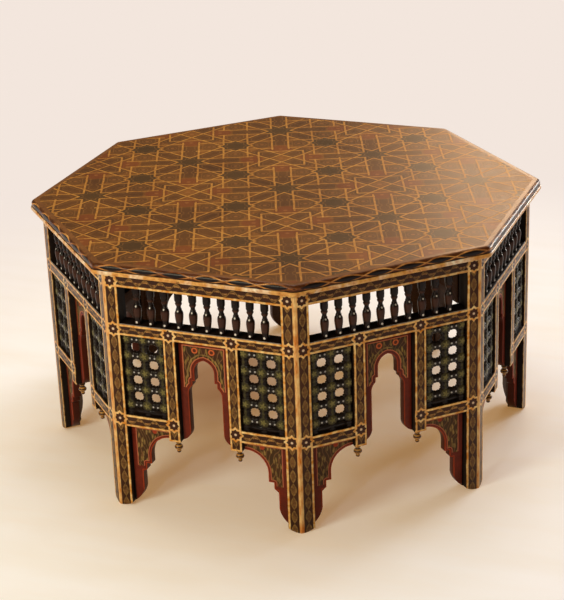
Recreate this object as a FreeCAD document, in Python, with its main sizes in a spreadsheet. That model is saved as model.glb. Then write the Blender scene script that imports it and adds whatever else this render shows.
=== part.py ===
import FreeCAD, Part
import math
import os
import Sketcher
from FreeCAD import Placement, Rotation, Vector

# Octagonal painted coffee table: eight framed sides, mitred together at the corners, under an
# overhanging octagonal top. Each side has a gallery of turned spindles, two pierced lattices,
# a lobed arch board between two mullions with turned drops, and a shaped bracket at each leg.
# Frame: +Z up, origin on the floor at the centre. Side 1 faces -Y, and each next side is
# turned an eighth of a circle anticlockwise, seen from above. Lengths are millimetres.

SIDES = 8
TURN = 360 / SIDES
MITRE = math.tan(math.pi / SIDES)
MITRE_COSINE = math.cos(math.pi / SIDES)
EIGHTH = math.sqrt(0.5)

DIMENSIONS = (
    ("frame_side", 371.2, "width of one face of the frame"),
    ("frame_height", 480, "floor to the underside of the top"),
    ("frame_depth", 32, "depth of stiles, rails and mullions"),
    ("stile_width", 27, "face width of a stile, corner to inner edge"),
    ("top_rail_height", 29, "height of the top rail"),
    ("gallery_height", 72, "clear height of the spindle gallery"),
    ("middle_rail_height", 23, "height of the middle rail"),
    ("lattice_bay_height", 162, "clear height of a lattice bay"),
    ("low_rail_height", 24, "height of a lower rail"),
    ("arch_bay_width", 100.4, "clear width between the mullions"),
    ("mullion_width", 23, "face width of a mullion"),
    ("mullion_drop", 19, "how far a mullion hangs below the lower rail"),
    ("tenon_length", 12, "length of a rail's tenon"),
    ("tenon_thickness", 10, "thickness of a tenon"),
    ("tenon_setback", 11, "face of the frame to the face of a tenon"),
    ("tenon_shoulder", 4, "shoulder above and below a tenon"),
    ("foot_flat", 8, "flat of the foot, from the corner along the face"),
    ("leg_width", 48.5, "corner to the inner edge of the leg"),
    ("foot_rise", 38, "top of the foot's curve"),
    ("foot_radius", 46, "radius of the foot's curve"),
    ("board_setback", 12, "face of the frame to the face of the shaped boards"),
    ("board_thickness", 16, "thickness of arch boards and brackets"),
    ("bracket_reach", 67.5, "corner to the bracket's lower edge line"),
    ("bracket_shoulder", 2.9, "flat between the bracket's curve and the mullion"),
    ("bracket_rise", 42, "height of the bracket's curve"),
    ("bracket_knee_drop", 60.5, "end of the mullion to the bracket's first step"),
    ("bracket_step_width", 10.5, "width of the bracket's first step"),
    ("bracket_step_height", 13, "height of the bracket's second riser"),
    ("bracket_step_slope", 6.5, "fall of the bracket's last slope"),
    ("arch_leg_width", 17.2, "width of the arch board's legs"),
    ("arch_shoulder_inset", 8.5, "how far the arch's shoulder draws in, each side"),
    ("arch_lobe_inset", 5, "ledge between the arch's neck and its head lobe, each side"),
    ("arch_apex_drop", 37, "middle rail to the arch's apex"),
    ("arch_spring_drop", 60, "middle rail to the springing of the head lobe"),
    ("arch_ledge_drop", 80, "middle rail to the ledge under the lobe"),
    ("arch_neck_drop", 89, "middle rail to the top of the shoulder's curve"),
    ("arch_shoulder_drop", 106, "middle rail to the foot of the shoulder's curve"),
    ("arch_leg_rise", 21.5, "height of the curve at the foot of an arch leg"),
    ("arch_leg_clearance", 1.5, "end of an arch leg above the mullion's end"),
    ("spindle_end_gap", 33.95, "stile to the axis of the nearest spindle"),
    ("spindle_setback", 10, "face of the frame to the spindles' axes"),
    ("spindle_foot_radius", 5.4, "spindle on the middle rail"),
    ("spindle_belly_radius", 7.6, "spindle's belly"),
    ("spindle_waist_radius", 4.3, "spindle's waist"),
    ("spindle_bead_radius", 7.1, "spindle's upper bead"),
    ("spindle_head_radius", 5.2, "spindle under the top rail"),
    ("lattice_setback", 4, "face of the frame to the face of a lattice"),
    ("lattice_thickness", 12, "thickness of a lattice"),
    ("lattice_side", 15.9, "lattice's bar beside the stile or mullion"),
    ("lattice_foot", 27.9, "lattice's bar on the lower rail"),
    ("lattice_head", 14.9, "lattice's bar under the middle rail"),
    ("lattice_upright", 15, "width of the upright bar between openings"),
    ("lattice_crossbar", 14, "height of a crossbar between openings"),
    ("pendant_length", 29, "length of a turned drop"),
    ("pendant_neck_radius", 5, "drop at the mullion"),
    ("pendant_bulb_radius", 8, "drop's bulb"),
    ("pendant_waist_radius", 4.5, "drop's waist"),
    ("pendant_ball_radius", 5.5, "drop's end ball"),
    ("pendant_tip_radius", 2.5, "drop's tip"),
    ("block_reach", 45, "leg of a corner block along each side"),
    ("top_thickness", 21, "thickness of the top"),
    ("top_overhang", 21.2, "face of the frame to the lip of the top"),
    ("edging_width", 16, "width of the top's edging"),
    ("glue_line", 0.2, "gap at the edging's mitres"),
    ("lip_height", 8.5, "height of the edging's lip"),
    ("lip_reach", 2.3, "lip beyond the painted band above it"),
    ("arris_radius", 7, "rounded upper edge of the top"),
    ("cut_overrun", 5, "how far a cut runs past what it cuts"),
)

SPINDLE_COUNT = 10
SPINDLE_FACETS = 5
PENDANT_FACETS = 5
LATTICE_COLUMNS = 2
LATTICE_ROWS = 4

# Heights of the turned shapes' rings, as shares of the length of the piece.
spindle_ring_shares = (0, 0.36, 0.585, 0.7, 1)
pendant_ring_shares = (0, 0.36, 0.62, 0.82, 1)


class Size:
    """A length as a number, with the sheet's expression that gives it."""

    def __init__(self, value, text):
        self.value = value
        self.text = text

    def __add__(self, other):
        other = as_size(other)
        return Size(self.value + other.value, f"({self.text} + {other.text})")

    def __sub__(self, other):
        other = as_size(other)
        return Size(self.value - other.value, f"({self.text} - {other.text})")

    def __mul__(self, other):
        other = as_size(other)
        return Size(self.value * other.value, f"({self.text} * {other.text})")

    def __truediv__(self, other):
        other = as_size(other)
        return Size(self.value / other.value, f"({self.text} / {other.text})")

    def __neg__(self):
        return Size(-self.value, f"(0 - {self.text})")


def as_size(number):
    if isinstance(number, Size):
        return number
    return Size(number, f"({number!r})" if number < 0 else repr(number))


class Dimensions:
    """The driving dimensions, as attributes with the names of the sheet's cells."""


doc = FreeCAD.newDocument("octagonal_table")
sheet = doc.addObject("Spreadsheet::Sheet", "sizes")
d = Dimensions()
for row, (alias, number, note) in enumerate(DIMENSIONS, start=1):
    sheet.set(f"A{row}", alias)
    sheet.set(f"B{row}", str(number))
    sheet.set(f"C{row}", note)
    sheet.setAlias(f"B{row}", alias)
    setattr(d, alias, Size(number, f"sizes.{alias}"))
doc.recompute()

# Levels and widths that several pieces share, worked out from the driving dimensions.
# Across a side, x runs from the middle of the face; y is minus the distance from the centre.
zero = as_size(0)
half_side = d.frame_side / 2
apothem = d.frame_side / (2 * MITRE)
top_rail_bottom = d.frame_height - d.top_rail_height
middle_rail_top = top_rail_bottom - d.gallery_height
middle_rail_bottom = middle_rail_top - d.middle_rail_height
low_rail_top = middle_rail_bottom - d.lattice_bay_height
low_rail_bottom = low_rail_top - d.low_rail_height
mullion_bottom = low_rail_bottom - d.mullion_drop
stile_edge = half_side - d.stile_width
mullion_inner = d.arch_bay_width / 2
mullion_outer = mullion_inner + d.mullion_width


def origin_feature(body, role):
    return next(item for item in body.Origin.OriginFeatures if item.Role == role)


def new_body(name, side=0):
    body = doc.addObject("PartDesign::Body", name)
    body.Label = name
    body.Placement = Placement(Vector(), Rotation(Vector(0, 0, 1), TURN * side))
    return body


def arc_between(start, end, radius, turn):
    """The short arc from start to end; turn is 1 for anticlockwise, -1 for clockwise."""
    chord = end - start
    left = Vector(-chord.y, chord.x, 0).normalize()
    rise = math.sqrt(radius ** 2 - (chord.Length / 2) ** 2)
    centre = (start + end) / 2 + left * rise * turn
    angles = [math.atan2(point.y - centre.y, point.x - centre.x) for point in (start, end)]
    if turn < 0:
        angles.reverse()
    if angles[1] < angles[0]:
        angles[1] += 2 * math.pi
    return Part.ArcOfCircle(Part.Circle(centre, Vector(0, 0, 1), radius), *angles)


def add_outline(sketch, path):
    """Close a path of (x, y) or (x, y, radius, turn), where the arc leaves that point."""
    first = sketch.GeometryCount
    count = len(path)
    corners = [Vector(step[0].value, step[1].value, 0) for step in path]
    geometry = []
    ends = []
    for index, step in enumerate(path):
        start, end = corners[index], corners[(index + 1) % count]
        if len(step) == 2:
            geometry.append(Part.LineSegment(start, end))
            ends.append((1, 2))
        else:
            geometry.append(arc_between(start, end, step[2].value, step[3]))
            ends.append((1, 2) if step[3] > 0 else (2, 1))
    sketch.addGeometry(geometry, False)
    known = sketch.ConstraintCount
    rules = []
    bound = []
    for index, step in enumerate(path):
        edge = first + index
        after = (index + 1) % count
        rules.append(Sketcher.Constraint("Coincident", edge, ends[index][1], first + after, ends[after][0]))
        for kind, axis, place in (("DistanceX", -2, step[0]), ("DistanceY", -1, step[1])):
            if place.text == zero.text:
                rules.append(Sketcher.Constraint("PointOnObject", edge, ends[index][0], axis))
                continue
            bound.append((known + len(rules), place))
            rules.append(Sketcher.Constraint(kind, -1, 1, edge, ends[index][0], place.value))
        if len(step) > 2:
            bound.append((known + len(rules), step[2]))
            rules.append(Sketcher.Constraint("Radius", edge, step[2].value))
    sketch.addConstraint(rules)
    for number, place in bound:
        sketch.setExpression(f"Constraints[{number}]", place.text)


def new_sketch(body, name, role, level, paths):
    """A sketch on one of the body's origin planes, moved along the plane's normal to level."""
    sketch = body.newObject("Sketcher::SketchObject", name)
    sketch.AttachmentSupport = [(origin_feature(body, role), "")]
    sketch.MapMode = "FlatFace"
    sketch.AttachmentOffset = Placement(Vector(0, 0, level.value), Rotation())
    if level.text != zero.text:
        sketch.setExpression("AttachmentOffset.Base.z", level.text)
    for path in paths:
        add_outline(sketch, path)
    return sketch


def add_pad(body, sketch, length, inwards=False):
    pad = body.newObject("PartDesign::Pad", "pad")
    pad.Profile = sketch
    pad.Reversed = inwards
    pad.setExpression("Length", length.text)
    return pad


def add_pocket(body, sketch, length=None):
    """A pocket against the sketch's normal, length deep or through all."""
    pocket = body.newObject("PartDesign::Pocket", "pocket")
    pocket.Profile = sketch
    if length is None:
        pocket.Type = "ThroughAll"
    else:
        pocket.setExpression("Length", length.text)
    return pocket


def turned_solid(rings, facets):
    """A turned shape in flat facets, from rings of (x, y, z, radius) along its axis."""
    loops = []
    for x, y, level, radius in rings:
        path = facet_path(x, y, radius, facets)
        loops.append([Vector(across.value, along.value, level.value) for across, along in path])
    faces = [Part.Face(Part.makePolygon(loop + loop[:1])) for loop in (loops[0], loops[-1])]
    for lower, upper in zip(loops[:-1], loops[1:]):
        for index in range(facets):
            after = (index + 1) % facets
            corners = [lower[index], lower[after], upper[after], upper[index], lower[index]]
            faces.append(Part.Face(Part.makePolygon(corners)))
    solid = Part.Solid(Part.Shell(faces))
    if solid.Volume < 0:
        solid.reverse()
    return solid


def new_turned_feature(name, solids, side=0):
    feature = doc.addObject("Part::Feature", name)
    feature.Label = name
    feature.Shape = Part.Compound(solids)
    feature.Placement = Placement(Vector(), Rotation(Vector(0, 0, 1), TURN * side))
    return feature


def add_mirror(body):
    """The body's other hand: the whole shape again across the middle of the side."""
    doc.recompute()
    mirror = body.newObject("PartDesign::Mirrored", "mirror")
    mirror.TransformMode = "Whole shape"
    mirror.MirrorPlane = (origin_feature(body, "YZ_Plane"), [""])
    body.Tip = mirror
    return mirror


def add_ring(body):
    """The whole shape again on each of the eight sides."""
    doc.recompute()
    ring = body.newObject("PartDesign::PolarPattern", "ring")
    ring.TransformMode = "Whole shape"
    ring.Axis = (origin_feature(body, "Z_Axis"), [""])
    ring.Angle = 360
    ring.Occurrences = SIDES
    body.Tip = ring
    return ring


def box_path(left, right, bottom, top):
    return [(left, bottom), (right, bottom), (right, top), (left, top)]


def facet_path(across, along, radius, facets):
    """A regular polygon of the given corner radius about (across, along)."""
    turns = [2 * math.pi * (index + 0.5) / facets for index in range(facets)]
    return [(across + radius * math.cos(turn), along + radius * math.sin(turn)) for turn in turns]


def quarter_radius(run, rise):
    """Radius of an arc that starts along its rise and moves off by run over that rise."""
    return (run * run + rise * rise) / (run * 2)


def foot_path():
    """The space under the foot's curve, from the foot's flat to the leg's inner edge."""
    heel = d.foot_flat - half_side
    inner = d.leg_width - half_side
    return [
        (heel, -d.cut_overrun),
        (inner, -d.cut_overrun),
        (inner, d.foot_rise, d.foot_radius, -1),
        (heel, zero),
    ]


def tenon_levels():
    """Bottom and top of the tenons of the top, middle and lower rails."""
    rails = (
        (top_rail_bottom, d.frame_height),
        (middle_rail_bottom, middle_rail_top),
        (low_rail_bottom, low_rail_top),
    )
    return [(bottom + d.tenon_shoulder, top - d.tenon_shoulder) for bottom, top in rails]


def make_stiles(side):
    """Two stiles with mitred outer edges, mortised for the rails and curved at the foot."""
    body = new_body(f"stiles_side{side + 1}", side)
    section = [
        (-half_side, -apothem),
        (-stile_edge, -apothem),
        (-stile_edge, d.frame_depth - apothem),
        (d.frame_depth * MITRE - half_side, d.frame_depth - apothem),
    ]
    add_pad(body, new_sketch(body, "section", "XY_Plane", zero, [section]), d.frame_height)
    add_pocket(body, new_sketch(body, "foot_curve", "XZ_Plane", apothem + d.cut_overrun, [foot_path()]))
    mortises = [
        box_path(-stile_edge - d.tenon_length, d.cut_overrun - stile_edge, bottom, top)
        for bottom, top in tenon_levels()
    ]
    sketch = new_sketch(body, "mortises", "XZ_Plane", apothem - d.tenon_setback, mortises)
    add_pocket(body, sketch, d.tenon_thickness)
    add_mirror(body)
    return body, 2


def make_rails(side):
    """Top and middle rail from stile to stile, and the two lower rails, with their tenons."""
    body = new_body(f"rails_side{side + 1}", side)
    bars = [
        box_path(-stile_edge, stile_edge, top_rail_bottom, d.frame_height),
        box_path(-stile_edge, stile_edge, middle_rail_bottom, middle_rail_top),
        box_path(-stile_edge, -mullion_outer, low_rail_bottom, low_rail_top),
        box_path(mullion_outer, stile_edge, low_rail_bottom, low_rail_top),
    ]
    add_pad(body, new_sketch(body, "bars", "XZ_Plane", apothem, bars), d.frame_depth, inwards=True)
    reach = stile_edge + d.tenon_length
    levels = tenon_levels()
    cores = [
        box_path(-reach, reach, *levels[0]),
        box_path(-reach, reach, *levels[1]),
        box_path(-reach, -mullion_outer, *levels[2]),
        box_path(mullion_outer, reach, *levels[2]),
    ]
    sketch = new_sketch(body, "tenons", "XZ_Plane", apothem - d.tenon_setback, cores)
    add_pad(body, sketch, d.tenon_thickness, inwards=True)
    return body, 4


def make_mullions(side):
    """Two mullions under the middle rail, whose ends hang below the lower rails."""
    body = new_body(f"mullions_side{side + 1}", side)
    bar = box_path(-mullion_outer, -mullion_inner, mullion_bottom, middle_rail_bottom)
    add_pad(body, new_sketch(body, "bar", "XZ_Plane", apothem, [bar]), d.frame_depth, inwards=True)
    add_mirror(body)
    return body, 2


def make_gallery(side):
    """A row of turned spindles between the middle and the top rail."""
    radii = (
        d.spindle_foot_radius,
        d.spindle_belly_radius,
        d.spindle_waist_radius,
        d.spindle_bead_radius,
        d.spindle_head_radius,
    )
    levels = [middle_rail_top + d.gallery_height * share for share in spindle_ring_shares]
    first = d.spindle_end_gap - stile_edge
    pitch = -first * 2 / (SPINDLE_COUNT - 1)
    spindles = []
    for number in range(SPINDLE_COUNT):
        x = first + pitch * number
        rings = [(x, d.spindle_setback - apothem, level, radius) for level, radius in zip(levels, radii)]
        spindles.append(turned_solid(rings, SPINDLE_FACETS))
    return new_turned_feature(f"gallery_spindles_side{side + 1}", spindles, side), SPINDLE_COUNT


def make_lattices(side):
    """Two pierced lattices that fill the bays between stile and mullion."""
    body = new_body(f"lattices_side{side + 1}", side)
    face = apothem - d.lattice_setback
    panel = box_path(-stile_edge, -mullion_outer, low_rail_top, middle_rail_bottom)
    add_pad(body, new_sketch(body, "panel", "XZ_Plane", face, [panel]), d.lattice_thickness, inwards=True)
    bay_width = stile_edge - mullion_outer
    width = (bay_width - d.lattice_side * 2 - d.lattice_upright * (LATTICE_COLUMNS - 1)) / LATTICE_COLUMNS
    bars = d.lattice_foot + d.lattice_head + d.lattice_crossbar * (LATTICE_ROWS - 1)
    height = (d.lattice_bay_height - bars) / LATTICE_ROWS
    left = d.lattice_side - stile_edge
    bottom = low_rail_top + d.lattice_foot
    opening = box_path(left, left + width, bottom, bottom + height)
    sketch = new_sketch(body, "opening", "XZ_Plane", face + d.cut_overrun, [opening])
    pocket = add_pocket(body, sketch)
    grid = body.newObject("PartDesign::LinearPattern", "grid")
    grid.Originals = [pocket]
    grid.Direction = (sketch, ["H_Axis"])
    grid.Mode = "Spacing"
    grid.setExpression("Offset", (width + d.lattice_upright).text)
    grid.Occurrences = LATTICE_COLUMNS
    grid.Direction2 = (sketch, ["V_Axis"])
    grid.Mode2 = "Spacing"
    grid.setExpression("Offset2", (height + d.lattice_crossbar).text)
    grid.Occurrences2 = LATTICE_ROWS
    grid.Spacings = [-1] * (LATTICE_COLUMNS - 1)
    grid.Spacings2 = [-1] * (LATTICE_ROWS - 1)
    body.Tip = grid
    add_mirror(body)
    return body, 2


def arch_path():
    """The arch board's outline: right half from its outer top corner to the apex, then the left."""
    half_arch = mullion_inner - d.arch_leg_width
    half_neck = half_arch - d.arch_shoulder_inset
    half_lobe = half_neck - d.arch_lobe_inset
    leg_bottom = mullion_bottom + d.arch_leg_clearance
    leg_radius = quarter_radius(d.arch_leg_width, d.arch_leg_rise)
    shoulder_radius = quarter_radius(d.arch_shoulder_inset, d.arch_shoulder_drop - d.arch_neck_drop)
    lobe_radius = quarter_radius(half_lobe, d.arch_spring_drop - d.arch_apex_drop)
    right = [
        (mullion_inner, middle_rail_bottom),
        (mullion_inner, leg_bottom, leg_radius, -1),
        (half_arch, leg_bottom + d.arch_leg_rise),
        (half_arch, middle_rail_bottom - d.arch_shoulder_drop, shoulder_radius, 1),
        (half_neck, middle_rail_bottom - d.arch_neck_drop),
        (half_neck, middle_rail_bottom - d.arch_ledge_drop),
        (half_lobe, middle_rail_bottom - d.arch_ledge_drop),
        (half_lobe, middle_rail_bottom - d.arch_spring_drop, lobe_radius, 1),
        (zero, middle_rail_bottom - d.arch_apex_drop),
    ]
    left = []
    for index in range(len(right) - 2, -1, -1):
        arc_back = right[index - 1][2:] if index > 0 else ()
        left.append((-right[index][0], right[index][1], *arc_back))
    right[-1] = (*right[-1], *right[-2][2:])
    return right + left


def make_arch_board(side):
    """The lobed arch board between the mullions, set back from the frame's face."""
    body = new_body(f"arch_board_side{side + 1}", side)
    sketch = new_sketch(body, "arch", "XZ_Plane", apothem - d.board_setback, [arch_path()])
    add_pad(body, sketch, d.board_thickness, inwards=True)
    return body, 1


def make_brackets(side):
    """Two shaped brackets, from the lower rail down the leg to the foot's curve."""
    body = new_body(f"brackets_side{side + 1}", side)
    reach = d.bracket_reach - half_side
    knee = mullion_bottom - d.bracket_knee_drop
    step = reach - d.bracket_step_width
    leg = d.leg_width - half_side
    curve_end = -mullion_outer - d.bracket_shoulder
    curve_radius = quarter_radius(curve_end - reach, d.bracket_rise)
    path = [
        (-stile_edge, low_rail_bottom),
        (-stile_edge, zero),
        (leg, zero),
        (leg, knee - d.bracket_step_height - d.bracket_step_slope),
        (step, knee - d.bracket_step_height),
        (step, knee),
        (reach, knee),
        (reach, mullion_bottom - d.bracket_rise, curve_radius, -1),
        (curve_end, mullion_bottom),
        (-mullion_outer, mullion_bottom),
        (-mullion_outer, low_rail_bottom),
    ]
    sketch = new_sketch(body, "bracket", "XZ_Plane", apothem - d.board_setback, [path])
    add_pad(body, sketch, d.board_thickness, inwards=True)
    add_pocket(body, new_sketch(body, "foot_curve", "XZ_Plane", apothem + d.cut_overrun, [foot_path()]))
    add_mirror(body)
    return body, 2


def make_pendants():
    """Sixteen turned drops, one under each mullion."""
    radii = (
        d.pendant_neck_radius,
        d.pendant_bulb_radius,
        d.pendant_waist_radius,
        d.pendant_ball_radius,
        d.pendant_tip_radius,
    )
    levels = [mullion_bottom - d.pendant_length * share for share in pendant_ring_shares]
    middle = (mullion_outer + mullion_inner) / 2
    pendants = []
    for side in range(SIDES):
        for x in (-middle, middle):
            rings = [(x, d.frame_depth / 2 - apothem, level, radius) for level, radius in zip(levels, radii)]
            pendant = turned_solid(rings, PENDANT_FACETS)
            pendants.append(pendant.rotated(Vector(), Vector(0, 0, 1), TURN * side))
    return new_turned_feature("pendants", pendants), 2 * SIDES


def make_corner_blocks():
    """Eight glue blocks behind the top rails, in the corners under the top."""
    body = new_body("corner_blocks")
    corner_x = half_side - d.frame_depth * MITRE
    corner_y = d.frame_depth - apothem
    path = [
        (corner_x, corner_y),
        (corner_x + d.block_reach * EIGHTH, corner_y + d.block_reach * EIGHTH),
        (corner_x - d.block_reach, corner_y),
    ]
    sketch = new_sketch(body, "block", "XY_Plane", top_rail_bottom, [path])
    add_pad(body, sketch, d.top_rail_height)
    add_ring(body)
    return body, SIDES


def make_top_panel():
    """The octagonal panel of the top, inside its edging."""
    body = new_body("top_panel")
    inner = apothem + d.top_overhang - d.edging_width
    path = facet_path(zero, zero, inner / MITRE_COSINE, SIDES)
    add_pad(body, new_sketch(body, "octagon", "XY_Plane", d.frame_height, [path]), d.top_thickness)
    return body, 1


def make_top_edging():
    """Eight mitred lengths of edging: a lip at the bottom, a band, and a rounded upper edge."""
    body = new_body("top_edging")
    outer = apothem + d.top_overhang
    inner = outer - d.edging_width
    half_outer = outer * MITRE - d.glue_line / 2
    half_inner = inner * MITRE - d.glue_line / 2
    plan = [(-half_outer, -outer), (half_outer, -outer), (half_inner, -inner), (-half_inner, -inner)]
    add_pad(body, new_sketch(body, "plan", "XY_Plane", d.frame_height, [plan]), d.top_thickness)
    band = d.lip_reach - outer
    top = d.frame_height + d.top_thickness
    lip_top = d.frame_height + d.lip_height
    outside = -outer - d.cut_overrun
    cut = [
        (outside, d.frame_height - d.cut_overrun),
        (band, d.frame_height - d.cut_overrun),
        (band, d.frame_height),
        (-outer, d.frame_height + d.lip_reach),
        (-outer, lip_top - d.lip_reach),
        (band, lip_top),
        (band, top - d.arris_radius, d.arris_radius, -1),
        (band + d.arris_radius, top),
        (band + d.arris_radius, top + d.cut_overrun),
        (outside, top + d.cut_overrun),
    ]
    pocket = add_pocket(body, new_sketch(body, "moulding", "YZ_Plane", zero, [cut]))
    pocket.Midplane = True
    add_ring(body)
    return body, SIDES


pieces = []
for side in range(SIDES):
    pieces.append(make_stiles(side))
    pieces.append(make_rails(side))
    pieces.append(make_mullions(side))
    pieces.append(make_gallery(side))
    pieces.append(make_lattices(side))
    pieces.append(make_arch_board(side))
    pieces.append(make_brackets(side))
pieces.append(make_pendants())
pieces.append(make_corner_blocks())
pieces.append(make_top_panel())
pieces.append(make_top_edging())
doc.recompute()

faults = [item.Name for item in doc.Objects if "Invalid" in item.State or "Error" in item.State]
for body, solids in pieces:
    shape = body.Shape
    if shape.isNull() or not shape.isValid() or len(shape.Solids) != solids:
        faults.append(f"{body.Label}: {0 if shape.isNull() else len(shape.Solids)} of {solids} solids")
if faults:
    raise RuntimeError("failed: " + ", ".join(faults))

os.makedirs("parts", exist_ok=True)
for body, solids in pieces:
    body.Shape.exportStep(f"parts/{body.Label}.step")
volume = sum(body.Shape.Volume for body, solids in pieces)
print(f"{len(pieces)} nodes, {sum(solids for body, solids in pieces)} solids, volume {volume:.0f}")
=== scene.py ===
import math
import bmesh
import bpy
import numpy as np
from mathutils import Matrix, Vector


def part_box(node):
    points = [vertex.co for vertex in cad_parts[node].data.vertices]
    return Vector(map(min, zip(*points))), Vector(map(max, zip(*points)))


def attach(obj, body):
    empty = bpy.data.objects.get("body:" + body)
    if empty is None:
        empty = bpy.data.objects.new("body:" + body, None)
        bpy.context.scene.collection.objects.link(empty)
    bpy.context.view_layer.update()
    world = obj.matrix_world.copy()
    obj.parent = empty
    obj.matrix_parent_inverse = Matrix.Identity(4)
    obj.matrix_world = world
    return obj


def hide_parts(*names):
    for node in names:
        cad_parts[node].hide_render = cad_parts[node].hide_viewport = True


# Octagonal painted coffee table. The frame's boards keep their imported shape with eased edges;
# the turned pieces, the lattices and the top's edging are worked out here. Object space is in
# metres, and the sizes in the dictionaries are millimetres unless a note says otherwise.

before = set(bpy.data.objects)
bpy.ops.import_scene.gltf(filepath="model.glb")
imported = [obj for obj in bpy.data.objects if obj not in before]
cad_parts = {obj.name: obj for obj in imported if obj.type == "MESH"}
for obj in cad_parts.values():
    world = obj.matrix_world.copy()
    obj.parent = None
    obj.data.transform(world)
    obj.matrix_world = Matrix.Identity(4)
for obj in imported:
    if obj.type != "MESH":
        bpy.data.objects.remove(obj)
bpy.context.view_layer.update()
mm = 0.001
sides = 8
turn = 2 * math.pi / sides
diagonal = 0.7071  # half the square root of 2


def boxMm(node):
    low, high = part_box(node)
    return [value / mm for value in low], [value / mm for value in high]


stileLow = boxMm("stiles_side1")[0]
mullionLow, mullionHigh = boxMm("mullions_side1")
boardLow, boardHigh = boxMm("arch_board_side1")
latticeLow, latticeHigh = boxMm("lattices_side1")
galleryLow, galleryHigh = boxMm("gallery_spindles_side1")
bracketHigh = boxMm("brackets_side1")[1]
edgeLow, edgeHigh = boxMm("top_edging")
panelLow, panelHigh = boxMm("top_panel")

# What the frame gives: levels above the floor and distances from the middle of a side.
place = {
    "apothem": -stileLow[1],
    "stileEdge": latticeHigh[0],
    "latticeMiddle": (mullionHigh[0] + latticeHigh[0]) / 2,
    "mullionOuter": mullionHigh[0],
    "mullionMiddle": (boardHigh[0] + mullionHigh[0]) / 2,
    "mullionInner": boardHigh[0],
    "topRailBottom": galleryHigh[2],
    "middleRailTop": galleryLow[2],
    "middleRailBottom": mullionHigh[2],
    "lowRailTop": latticeLow[2],
    "lowRailBottom": bracketHigh[2],
    "mullionBottom": mullionLow[2],
    "boardSetback": boardLow[1] - stileLow[1],
}
print("frame read:", {name: round(value, 1) for name, value in place.items()})


# Mesh helpers

def gridFaces(rows, columns, closed=False):
    # Quads between the points of a grid whose columns go round. Closed joins the last row to the first.
    row, column = np.meshgrid(np.arange(rows if closed else rows - 1), np.arange(columns), indexing="ij")
    below, after = (row + 1) % rows, (column + 1) % columns
    row, below = row * columns, below * columns
    corners = row + column, row + after, below + after, below + column
    return np.stack(corners, axis=-1).reshape(-1, 4).tolist()


def ringFaces(rows, columns):  # a stack of rings, closed by the two end points that follow them
    here = list(range(columns))
    after = here[1:] + here[:1]
    first, last = rows * columns, (rows - 1) * columns
    faces = gridFaces(rows, columns)
    faces += [[first, b, a] for a, b in zip(here, after)]
    faces += [[first + 1, last + a, last + b] for a, b in zip(here, after)]
    return faces


def turned(profile, segments):
    # Each (height, radius) of the profile is carried round the z axis; a point closes each end.
    height, radius = np.array(profile, float).T
    angle = np.arange(segments) * 2 * math.pi / segments
    ring = np.stack([
        radius[:, None] * np.cos(angle),
        radius[:, None] * np.sin(angle),
        np.repeat(height[:, None], segments, axis=1),
    ], axis=-1).reshape(-1, 3)
    poles = np.array([[0, 0, height[0]], [0, 0, height[-1]]])
    return np.vstack([ring, poles]), ringFaces(len(height), segments)


def boxShape(x, y, z):  # a box from its low and high along each axis
    points = np.array([[a, b, c] for c in z for b in y for a in x])
    faces = [[0, 2, 3, 1], [4, 5, 7, 6], [0, 1, 5, 4], [2, 6, 7, 3], [0, 4, 6, 2], [1, 3, 7, 5]]
    return points, faces


def joinShapes(shapes):  # many (points, faces) as one
    points, faces, count = [], [], 0
    for shapePoints, shapeFaces in shapes:
        points.append(shapePoints)
        faces += [[index + count for index in face] for face in shapeFaces]
        count += len(shapePoints)
    return np.vstack(points), faces


def onSide(points, side):  # turned about z from side 1 to the given side
    x, y, z = points.T
    cosine, sine = math.cos(turn * side), math.sin(turn * side)
    return np.stack([x * cosine - y * sine, x * sine + y * cosine, z], axis=1)


def mergeClose(source, target, flatWithin=0):
    # Points that fall together become one, and so do faces that lie within some degrees of one plane.
    work = bmesh.new()
    work.from_mesh(source)
    bmesh.ops.remove_doubles(work, verts=work.verts, dist=0.01 * mm)
    if flatWithin:
        limit = math.radians(flatWithin)
        bmesh.ops.dissolve_limit(work, angle_limit=limit, verts=work.verts, edges=work.edges)
    work.to_mesh(target)
    work.free()


def linked(name, data):  # a new object in the scene
    added = bpy.data.objects.new(name, data)
    bpy.context.scene.collection.objects.link(added)
    return added


def addPiece(name, mesh, material, replaced, smooth=True):  # it rides on the one body
    mesh.polygons.foreach_set("use_smooth", [smooth] * len(mesh.polygons))
    mesh.materials.append(material)
    piece = linked(name, mesh)
    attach(piece, "root")
    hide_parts(*replaced)
    return piece


def makePiece(name, points, faces, material, slot, replaced, smooth=True):  # from points in millimetres
    mesh = bpy.data.meshes.new(name)
    mesh.from_pydata((points * mm).tolist(), [], faces)
    mesh.validate()
    return addPiece(name, mesh, material, replaced, smooth)


def easedCopy(node, name, material, width):
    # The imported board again, its triangles merged to flat faces and its edges eased by a bevel.
    mesh = bpy.data.meshes.new(name)
    mergeClose(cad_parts[node].data, mesh, 1)
    piece = addPiece(name, mesh, material, [node])
    bevel = piece.modifiers.new("easedEdges", "BEVEL")
    bevel.width = width * mm
    bevel.segments = 2
    bevel.limit_method = "ANGLE"
    bevel.angle_limit = math.radians(30)
    bevel.harden_normals = True


# Shader helpers

def feed(tree, target, value):  # links what varies, and sets what doesn't
    if isinstance(value, Sock):
        value = value.socket
    if isinstance(value, bpy.types.NodeSocket):
        tree.links.new(value, target)
    else:
        target.default_value = (*value, 1) if target.type == "RGBA" else value


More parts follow.
